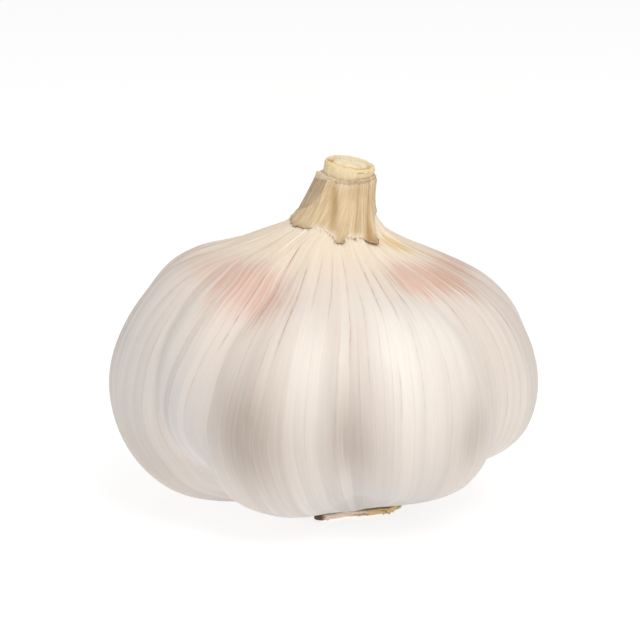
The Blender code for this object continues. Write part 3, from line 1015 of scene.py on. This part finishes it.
def make_outer_sheath(material):
    """The outer leaf, wrapped round the neck from a torn edge at the left front. Its lip stands
    off the shoulder where it is torn."""
    azimuth = full_turn(SHEATH_COLUMNS)
    turn = azimuth / 360.0
    low, wall_at = sheath_wall(azimuth)
    top = np.interp(azimuth, *zip(*TORN_EDGE)) - FRONT_DIP * near(azimuth, *FRONT_DIP_PLACE)
    top = top + ripples(turn, 0 * turn, OUTER_TOP_WAVES)
    lip = ramp(azimuth, *LIP_FROM) * (1 - ramp(azimuth, *LIP_TO))
    start = low + LIP_LIFT * lip
    rise = np.linspace(0.0, 1.0, SHEATH_RINGS)[:, None]
    height = start + (top - start) * rise
    radius, up, groove = wall_at(height)
    radius = radius + LIP_FLARE * lip * (1 - rise) ** 1.5
    radius = radius + FREE_EDGE_LIFT * near(azimuth, *FREE_EDGE_PLACE) * ramp(rise, 0.1, 0.6)
    radius = radius - RIM_CLOSE * (1 - lip) * ramp(rise, 0.86, 1.0)
    worn_and_shaded = ramp(np.interp(azimuth, *zip(*HEM), period=360.0), *WORN_HEM)
    worn_and_shaded = np.maximum(worn_and_shaded, 0.8 * lip)
    radius = radius - HEM_SINK * (1 - worn_and_shaded) * (1 - ramp(rise, 0.0, 0.12))
    thickness = LEAF * (0.3 + 0.7 * ramp(rise, 0.0, 0.2)) * (1 - 0.5 * ramp(rise, 0.8, 1.0))
    outer = round_axis(azimuth, radius, height)
    inner = round_axis(azimuth, radius - thickness, height - 0.0001 * MM)
    leaf = leaf_of_sheath("outer_sheath", outer, inner, material, up, groove, worn_and_shaded)
    return leaf, outer[0], lip[0]


def sheath_material(name, light, dark, deep):
    """A dry leaf sheath, with fine fibres that run up it, painted shade in its grooves, and a brown
    hem that is partly painted shade under the lip and tongues.
    """
    material, tree = new_material(name)
    around = stored(tree, "around", "Vector")
    up = stored(tree, "up")
    groove = stored(tree, "groove")
    fibres = around.stretch(42, 42, 1.6).noise(1.0, 4.0, 0.65)
    threads = around.stretch(95, 95, 3.0).noise(1.0, 2.0, 0.6)
    patches = around.stretch(3.5, 3.5, 2.2).noise(1.0, 2.0, 0.5)
    hem = 1 - up.rise(0.0, 0.14)
    worn_and_shaded = (stored(tree, "worn_and_shaded") + (patches - 0.5) * 0.8).clamp()
    colour = layered(
        dark,
        ((fibres * 2.9 - 0.98 + (patches - 0.5)).clamp(), light),
        # painted shade in the grooves
        ((groove * 0.95 * (0.55 + 0.7 * threads)).clamp(), deep),
        ((threads - 0.54).clamp() * 2.0, STRAW),
        (up.rise(0.950, 0.985) * 0.55, RIM_PALE),
        # brown at the hem of the tongues and lip: the frayed edge's colour, with painted shade under the
        # lip
        ((hem * worn_and_shaded * (0.35 + 0.9 * threads)).clamp() * 0.85, HEM_BROWN),
        (hem * (1 - worn_and_shaded) * 0.85, CREAM),
    )
    roughness = 0.50 + 0.25 * fibres
    height = 0.6 * fibres + 0.5 * threads
    finish_material(tree, colour, roughness, height, 0.09 * MM, {"Specular IOR Level": 0.35})
    return material


def make_stalk(material):
    """The cut stem: ribbed sides, and a slanting cut face with its rind, split and pith."""
    azimuth = full_turn(STALK_COLUMNS)
    angle = np.radians(azimuth)
    fall = CUT_FALL[0] * np.sin(angle) + CUT_FALL[1] * np.cos(angle)
    turn = azimuth / 360.0
    side = np.linspace(0.0, 1.0, STALK_SIDE_RINGS)[:, None]
    side_height = STALK_FOOT + (STALK_TOP - CUT_EDGE - STALK_FOOT) * side
    side_radius = STALK_RADIUS + ripples(turn, side, STALK_RIBS)
    reach = np.linspace(1.0, 0.03, CUT_RINGS)[:, None]
    edge = np.sqrt(1 - np.clip((reach - EDGE_START) / (1 - EDGE_START), 0, 1) ** 2)
    split_side = near(azimuth, *SPLIT_PLACE)
    relief = RIND_HEIGHT * bell(reach - RIND_RING, 0.06) * (1 + ripples(turn, 0 * turn, RIND_WAVES))
    relief = relief - RIND_HEIGHT * bell(reach - SPLIT_RING, 0.045)
    relief = relief - SPLIT_DEPTH * bell(reach - SPLIT_RING, 0.07) * split_side
    relief = relief + PITH_SWELL * np.clip(1 - (reach / PITH_REACH) ** 2, 0, 1)
    relief = relief + ripples(turn, reach, CUT_WAVES)
    x = reach * STALK_RADIUS * np.sin(angle)
    y = reach * STALK_RADIUS * -np.cos(angle)
    pit = bell(np.hypot(x - PIT_PLACE[0], y - PIT_PLACE[1]), PIT_RADIUS)
    relief = relief - PIT_DEPTH * pit
    top_height = STALK_TOP - CUT_EDGE * (1 - edge) + relief
    radius = np.concatenate([side_radius, reach * STALK_RADIUS + 0 * azimuth])
    height = np.concatenate([side_height + 0 * azimuth, top_height])
    dropped = np.concatenate([side**2, np.ones_like(reach)]) * radius * fall
    points = round_axis(azimuth, radius, height)
    points[..., 1] *= STALK_OVAL
    points[..., 2] -= dropped
    stalk = solid_of_rings("cut_stalk", points, material)
    sides = np.zeros(side_radius.shape)
    split = bell(reach - SPLIT_RING, 0.075) * (0.35 + split_side)
    write_values(stalk, "cut", np.concatenate([sides, np.ones_like(relief)]))
    write_values(stalk, "reach", np.concatenate([sides + 1, reach + 0 * azimuth]))
    write_values(stalk, "split", np.concatenate([sides, split]))
    write_values(stalk, "pit", np.concatenate([sides, pit]))
    return stalk


def stalk_material():
    """A dried cut stem: cream pith, yellow rind, a golden split and a rusty pit."""
    material, tree = new_material("cut stalk")
    place = object_place(tree)
    mottle = place.noise(700.0, 3.0, 0.6)
    fine = place.noise(2600.0, 3.0, 0.6)
    upright = place.stretch(1.0, 1.0, 0.12).noise(1900.0, 3.0, 0.6)
    reach = stored(tree, "reach")
    cut = stored(tree, "cut")
    face = layered(
        PITH,
        ((mottle * 1.6 - 0.3).clamp(), PITH_PALE),
        ((reach + (mottle - 0.5) * 0.22).rise(0.78, 0.96) * (0.2 + 0.9 * mottle), RIND),
        ((stored(tree, "split") * (0.5 + mottle)).clamp(), SPLIT_GOLD),
        ((fine - 0.60).clamp() * 4.0 * reach, RUST),
        ((stored(tree, "pit") * 1.5).clamp(), RUST),
    )
    side = mixed((upright * 2.0 - 0.5).clamp(), STALK_SIDE, STALK_SIDE_PALE)
    colour = mixed(cut, side, face)
    finish_material(tree, colour, 0.55 + 0.2 * mottle, 0.6 * fine + 0.6 * upright, 0.06 * MM)
    return material


def plate_rim(azimuth):
    """The radius of the root plate's uneven rim."""
    angle = np.radians(azimuth)
    waves = sum(share * np.sin(n * angle + phase) for n, share, phase in RIM_RIPPLES)
    tongues = sum(reach * near(azimuth, at, spread) for at, spread, reach in RIM_TONGUES)
    return PLATE_RADIUS * (1 + waves) + tongues


def make_root_plate(material):
    """The corky root plate, pitted underneath and frayed round its rim."""
    azimuth = full_turn(PLATE_COLUMNS)
    turn = azimuth / 360.0
    rim = plate_rim(azimuth)
    under = np.linspace(0.04, FLAT_SHARE, 16)[:, None]
    pits = ripples(turn, under, CORK_PITS, least=0.0)
    section = smooth_curve(EDGE_SECTION, 12)
    out, lift = section[:, :1], section[:, 1:]
    frayed = ripples(turn, 0 * turn, RIM_FRAY) + ripples(turn, lift / LAYERED_HEIGHT, RIM_LAYERS)
    edge_radius = out * rim + frayed * ramp(out, 0.90, 0.97)
    up = np.linspace(0.0, 1.0, 8)[1:, None]
    top_radius = edge_radius[-1:] + (PLATE_TOP_RADIUS - edge_radius[-1:]) * up
    top_height = section[-1, 1] + (PLATE_TOP - section[-1, 1]) * up
    radius = np.concatenate([under * rim, edge_radius, top_radius, 0.5 * top_radius[-1:]])
    under_height = pits * (1 - ramp(under, 0.75, 0.86))
    edge_height = np.maximum(lift + ripples(turn, out, RIM_WAVES), 0.0)
    flat = 0 * azimuth
    height = np.concatenate([under_height, edge_height, top_height + flat, PLATE_TOP + flat])
    return solid_of_rings("root_disc", round_plate(azimuth, radius, height), material)


def cork_material():
    """Corky root plate: pale, golden at the right, dark at its left tip and between layers, and
    painted shadow along its top edge.
    """
    material, tree = new_material("root cork")
    place = object_place(tree)
    broad = place.noise(420.0, 3.0, 0.6)
    grit = place.noise(1900.0, 3.0, 0.65)
    layers = place.stretch(0.25, 0.25, 3.0).noise(1100.0, 3.0, 0.6)
    right = (place.part("X") + (broad - 0.5) * 3.0 * MM).rise(0.0, 3.5 * MM)
    ends = {0: place, 1: WORN_TIP}
    from_tip = place.node("ShaderNodeVectorMath", {"operation": "DISTANCE"}, ends, "Value")
    left_end = 1 - (from_tip + (broad - 0.5) * 0.8 * MM).rise(0.7 * MM, 1.5 * MM)
    shadowed = (place.part("Z") + (grit - 0.5) * 0.3 * MM).rise(0.80 * MM, 1.05 * MM)
    colour = layered(
        CORK_TAN,
        ((grit * 1.8 - 0.4).clamp(), CORK_PALE),
        ((broad * 2.2 - 0.6).clamp() * 0.5, CORK_ROSE),
        (right * 0.8, CORK_GOLD),
        ((layers - 0.52).clamp() * 5.0, CORK_DARK),
        (left_end * 0.95, CORK_DARK),
        (shadowed * 0.75, CORK_DARK),
    )
    finish_material(tree, colour, 0.78 + 0.15 * grit, 0.6 * grit + 0.6 * broad, 0.16 * MM)
    return material


def strand_material(name, low, high):
    """Dry roots and fibres, streaked along their length."""
    material, tree = new_material(name)
    place = object_place(tree)
    tone = place.noise(520.0, 2.0, 0.5)
    streak = place.noise(2400.0, 2.0, 0.6)
    colour = mixed((tone * 2.4 - 0.7).clamp(), low, high)
    finish_material(tree, colour, 0.68 + 0.2 * streak, streak, 0.03 * MM)
    return material


def strand_tree():
    """A node tree that grows one tapered, bent strand from each point of its bed. The bed's points
    carry the way to grow, "lie", and the length, "reach"."""
    group = bpy.data.node_groups.new("strands", "GeometryNodeTree")
    sockets = {
        "Geometry": ("Bed",),
        "Float": ("Thickness", "Taper", "Sway", "Lowest"),
        "Int": ("Joints", "Sides", "Seed"),
        "Material": ("Finish",),
    }
    for kind, labels in sockets.items():
        for label in labels:
            group.interface.new_socket(label, in_out="INPUT", socket_type=f"NodeSocket{kind}")
    group.interface.new_socket("Strands", in_out="OUTPUT", socket_type="NodeSocketGeometry")
    tree = Wire(group)
    asked = group.nodes.new("NodeGroupInput").outputs

    def given(label):
        return Wire(group, asked[label])

    def named(name, kind):
        return tree.node("GeometryNodeInputNamedAttribute", {"data_type": kind}, {"Name": name})

    def drawn(kind, limits, seed, out):
        return tree.node("FunctionNodeRandomValue", {"data_type": kind}, {**limits, "Seed": seed}, out)

    def carrying(bed, name, kind, value):
        settings = {"data_type": kind, "domain": "POINT"}
        sockets = {"Geometry": bed, "Name": name, "Value": value}
        return tree.node("GeometryNodeStoreNamedAttribute", settings, sockets)

    sway = given("Sway")
    seed = given("Seed")
    bed = carrying(
        given("Bed"), "sway", "FLOAT_VECTOR", drawn("FLOAT_VECTOR", {0: sway * -1.0, 1: sway}, seed, 0)
    )
    bed = carrying(bed, "width", "FLOAT", drawn("FLOAT", {2: 0.65, 3: 1.35}, seed + 1.0, 1))
    ends = {"Start": (0, 0, 0), "End": (0, 0, 1)}
    spine = tree.node("GeometryNodeCurvePrimitiveLine", {"mode": "POINTS"}, ends)
    joints = {"Curve": spine, "Count": given("Joints")}
    spine = tree.node("GeometryNodeResampleCurve", {"mode": "COUNT"}, joints)
    lie = named("lie", "FLOAT_VECTOR")
    turned = tree.node("FunctionNodeAlignRotationToVector", {"axis": "Z"}, {"Vector": lie})
    planted = {"Points": bed, "Instance": spine, "Rotation": turned, "Scale": named("reach", "FLOAT")}
    strands = tree.node("GeometryNodeInstanceOnPoints", None, planted)
    strands = tree.node("GeometryNodeRealizeInstances", None, {"Geometry": strands})
    along = tree.node("GeometryNodeSplineParameter", None, None, "Factor")
    scaled = {0: named("sway", "FLOAT_VECTOR"), "Scale": along**2.0}
    bend = tree.node("ShaderNodeVectorMath", {"operation": "SCALE"}, scaled)
    strands = tree.node("GeometryNodeSetPosition", None, {"Geometry": strands, "Offset": bend})
    width = given("Thickness") * named("width", "FLOAT") * (1 - along * (1 - given("Taper")))
    circle = {"Resolution": given("Sides"), "Radius": 1.0}
    profile = tree.node("GeometryNodeCurvePrimitiveCircle", {"mode": "RADIUS"}, circle)
    swept = {"Curve": strands, "Profile Curve": profile, "Scale": width, "Fill Caps": True}
    strands = tree.node("GeometryNodeCurveToMesh", None, swept)
    place = tree.node("GeometryNodeInputPosition")
    held = {axis: place.part(axis) for axis in "XYZ"}
    held["Z"] = held["Z"].math("MAXIMUM", given("Lowest"))
    raised = tree.node("ShaderNodeCombineXYZ", None, held)
    strands = tree.node("GeometryNodeSetPosition", None, {"Geometry": strands, "Position": raised})
    strands = tree.node("GeometryNodeRealizeInstances", None, {"Geometry": strands})
    strands = tree.node("GeometryNodeSetMaterial", None, {"Geometry": strands, "Material": given("Finish")})
    ending = group.nodes.new("NodeGroupOutput")
    group.links.new(strands.socket, ending.inputs["Strands"])
    return group


def grow_strands(name, group, places, ways, reaches, inputs):
    """Grows a strand at each place, and leaves a plain mesh."""
    bed = bpy.data.meshes.new(f"{name}_bed")
    bed.from_pydata(places.tolist(), [], [])
    grower = add_object(f"{name}_bed", bed)
    write_vectors(grower, "lie", ways)
    write_values(grower, "reach", reaches)
    growth = grower.modifiers.new("growth", "NODES")
    growth.node_group = group
    for item in group.interface.items_tree:
        if item.in_out == "INPUT" and item.name in inputs:
            growth[item.identifier] = inputs[item.name]
    grown = grower.evaluated_get(bpy.context.evaluated_depsgraph_get())
    mesh = bpy.data.meshes.new_from_object(grown)
    mesh.name = name
    grower.modifiers.remove(growth)
    bpy.data.objects.remove(grower)
    bpy.data.meshes.remove(bed)
    mesh.shade_smooth()
    return add_object(name, mesh)


def make_roots(group, material):
    """The trimmed roots: stubs round the plate's rim, with fewer and shorter ones at the front."""
    chance = np.random.default_rng(ROOT_SEED)
    azimuth = chance.uniform(-180.0, 180.0, ROOT_COUNT)
    out = np.sqrt(chance.uniform(0.0, 1.0, ROOT_COUNT))
    inset = FLAT_SHARE - 0.02 + (1.0 - FLAT_SHARE) * out
    radius = inset * plate_rim(azimuth) - 0.1 * MM
    height = (0.25 + 0.55 * chance.uniform(0.0, 1.0, ROOT_COUNT)) * MM
    places = round_plate(azimuth, radius, height)
    lean = np.radians(55.0 + 33.0 * out + chance.uniform(-12.0, 12.0, ROOT_COUNT))
    swing = azimuth + chance.uniform(-22.0, 22.0, ROOT_COUNT)
    ways = round_plate(swing, np.sin(lean), -np.cos(lean))
    front = ramp(azimuth, -46.0, -34.0) * (1 - 0.75 * ramp(azimuth, 32.0, 40.0))
    front = front * (1 - ramp(azimuth, 84.0, 100.0))
    reaches = chance.uniform(0.7, 1.4, ROOT_COUNT) * (1 - (1 - FRONT_ROOTS) * front) * MM
    reaches = reaches * (1 - 0.75 * near(azimuth, 62.0, 34.0))
    kept = chance.uniform(0.0, 1.0, ROOT_COUNT) > 0.85 * front
    inputs = {**ROOT_STUB, "Finish": material}
    return grow_strands("root_stubs", group, places[kept], ways[kept], reaches[kept], inputs)


def make_hem_fibres(group, material, hem, lip):
    """Frayed fibres that hang from the hem of the outer leaf over the shoulder."""
    chance = np.random.default_rng(FIBRE_SEED)
    azimuth = full_turn(SHEATH_COLUMNS)[0]
    weight = 0.1 + near(azimuth, 15.0, 38.0) + 0.5 * near(azimuth, 180.0, 40.0)
    weight = weight * (1 - 0.95 * near(azimuth, 90.0, 30.0)) * (1 - 0.9 * lip)
    picked = chance.choice(len(hem), HEM_FIBRES, p=weight / weight.sum())
    places = hem[picked] + np.array([0.0, 0.0, 1.0]) * chance.uniform(0.0, 0.35, (HEM_FIBRES, 1)) * MM
    middle = np.array([axis_offset(40.0 * MM), 0.0, 0.0])
    away = (places - middle) * (1.0, 1.0, 0.0)
    away /= np.linalg.norm(away, axis=1)[:, None]
    ways = away + np.array([0.0, 0.0, -1.0]) * (0.55 + 0.7 * lip[picked])[:, None]
    ways += chance.uniform(-0.35, 0.35, ways.shape)
    ways /= np.linalg.norm(ways, axis=1)[:, None]
    reaches = chance.uniform(0.25, 0.7, HEM_FIBRES) * MM
    inputs = {**HEM_FIBRE, "Finish": material}
    return grow_strands("hem_fibres", group, places - 0.1 * MM * ways, ways, reaches, inputs)


def floor_material():
    """A plain matt white table that is lit from below as well as from above."""
    material, tree = new_material("white table")
    sockets = {
        "Base Color": (FLOOR_PALE, FLOOR_PALE, FLOOR_PALE, 1.0),
        "Roughness": 1.0,
        "Specular IOR Level": 0.0,
        "Emission Color": (1.0, 1.0, 1.0, 1.0),
        "Emission Strength": FLOOR_GLOW,
    }
    end_in_shader(tree, sockets)
    return material


def make_stage():
    mesh = bpy.data.meshes.new("floor")
    half = STAGE_SIZE / 2
    corners = [(-half, -half, 0), (half, -half, 0), (half, half, 0), (-half, half, 0)]
    mesh.from_pydata(corners, [], [(0, 1, 2, 3)])
    mesh.materials.append(floor_material())
    floor = add_object("floor", mesh)
    floor.location.z = -STAGE_DROP
    world = bpy.data.worlds.new("studio")
    bpy.context.scene.world = world
    world.use_nodes = True
    background = world.node_tree.nodes["Background"]
    background.inputs["Color"].default_value = (1.0, 1.0, 1.0, 1.0)
    background.inputs["Strength"].default_value = WORLD_LIGHT


def aim(thing, target, azimuth, elevation, distance):
    """Puts a lamp or the camera at a distance from its target, and turns it to face it."""
    flat = math.radians(azimuth)
    high = math.radians(elevation)
    way = Vector((math.sin(flat) * math.cos(high), -math.cos(flat) * math.cos(high), math.sin(high)))
    thing.location = target + way * distance
    thing.rotation_mode = "QUATERNION"
    thing.rotation_quaternion = way.to_track_quat("Z", "Y")


def add_softbox(box):
    """A square lamp that faces the bulb."""
    lamp = bpy.data.lights.new(box.name, "AREA")
    lamp.size = box.size
    lamp.energy = box.power
    lamp.color = box.colour
    middle = Vector((0.0, 0.0, 0.5 * BODY_HEIGHT))
    aim(add_object(box.name, lamp), middle, box.azimuth, box.elevation, box.distance)


def add_camera():
    data = bpy.data.cameras.new("camera")
    data.sensor_width = 36.0
    data.lens = CAMERA_LENS
    camera = add_object("camera", data)
    aim(camera, CAMERA_TARGET, 0.0, CAMERA_ELEVATION, CAMERA_DISTANCE)
    bpy.context.scene.camera = camera


def settle(piece, slot, *nodes):
    """Joins a finished piece to the frame."""
    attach(piece, "root")
    if nodes:
        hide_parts(*nodes)


def main():
    settle(make_skin(skin_material()), "papery_skin", "bulb")
    inner = sheath_material("inner leaf", SLATE_PALE, SLATE_BROWN, SLATE_BROWN)
    outer = sheath_material("outer leaf", LEAF_CREAM, LEAF_TAN, LEAF_GROOVE_SHADE)
    settle(make_inner_sheath(inner), "dry_sheath")
    sheath, hem, lip = make_outer_sheath(outer)
    settle(sheath, "dry_sheath", "neck_sheath")
    settle(make_stalk(stalk_material()), "cut_stalk", "stalk")
    settle(make_root_plate(cork_material()), "root_cork", "root_plate")
    group = strand_tree()
    settle(make_roots(group, strand_material("root fibre", ROOT_DARK, ROOT_TAN)), "root_cork")
    fibre = strand_material("hem fibre", FIBRE_BROWN, FIBRE_STRAW)
    settle(make_hem_fibres(group, fibre, hem, lip), "dry_sheath")
    make_stage()
    for box in SOFTBOXES:
        add_softbox(box)
    add_camera()
    bpy.context.scene.view_settings.view_transform = "Standard"


main()
